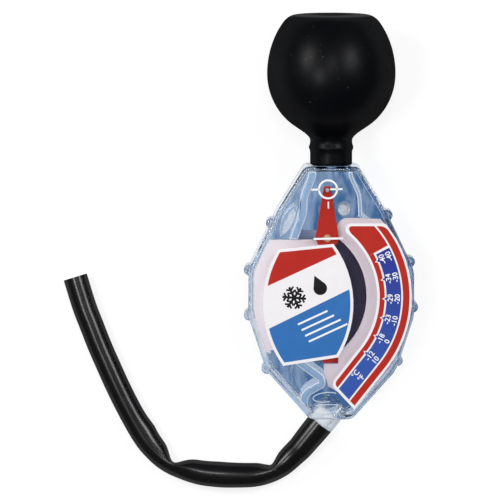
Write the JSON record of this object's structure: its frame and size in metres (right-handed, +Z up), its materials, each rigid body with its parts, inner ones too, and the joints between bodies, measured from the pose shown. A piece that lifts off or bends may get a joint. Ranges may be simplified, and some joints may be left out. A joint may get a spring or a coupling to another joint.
{
  "type": "antifreeze tester",
  "caption": "Dial antifreeze tester: rubber squeeze bulb on a flat clear case with a float pointer, a plumb bob, a curved temperature scale and a pick-up hose",
  "frame": {"origin": "midway under the tester without its hose, on the bench that it lies on", "axes": "+Y runs along the long axis to the bulb, +X to the right of the dial, +Z up out of the bench and the dial; the case is tilted by 6.6 degrees because it rests on the bulb and its lower rear edge"},
  "size_m": [0.1426, 0.1922, 0.0513],
  "materials": {
    "bulb_rubber": "satin black moulded rubber",
    "hose_rubber": "satin black extruded rubber",
    "clear_front": "clear moulded plastic, faintly blue",
    "clear_rear": "clear moulded plastic, blue tint",
    "plate_white": "matt off-white sheet",
    "card_navy": "matt dark navy card",
    "sticker_white": "printed film sticker",
    "signal_red": "red moulded plastic",
    "float_black": "black float block",
    "brass": "turned brass",
    "steel": "drawn steel pin"
  },
  "bodies": {
    "case": {"squeeze_bulb": "bulb_rubber", "front_shell": "clear_front", "rear_shell": "clear_rear", "dial_plate": "plate_white", "scale_plate": "plate_white", "backing_card": "card_navy", "name_label": "sticker_white", "scale_label": "sticker_white", "float_pin": "steel", "plumb_pin": "steel", "pickup_hose": "hose_rubber"},
    "crown": {"bulb_crown": "bulb_rubber"},
    "float": {"pointer": "signal_red", "float_block": "float_black", "balance_weight": "brass"},
    "plumb": {"plumb_bob": "signal_red", "plumb_weight": "brass"}
  },
  "joints": [
    {"name": "bulb_squeeze", "type": "slide", "parent": "case", "child": "crown", "axis": [0, -0.9935, -0.1142], "range_m": [0, 0.012], "stiffness_N_per_m": 400, "deforming": ["squeeze_bulb"]},
    {"name": "float_pivot", "type": "hinge", "parent": "case", "child": "float", "pos_m": [-0.0148, -0.02538, 0.01548], "axis": [0, -0.1142, 0.9935], "range_deg": [0, 88]},
    {"name": "plumb_pivot", "type": "hinge", "parent": "case", "child": "plumb", "pos_m": [-0.0016, 0.01714, 0.02037], "axis": [0, -0.1142, 0.9935], "range_deg": [-8, 8]}
  ]
}
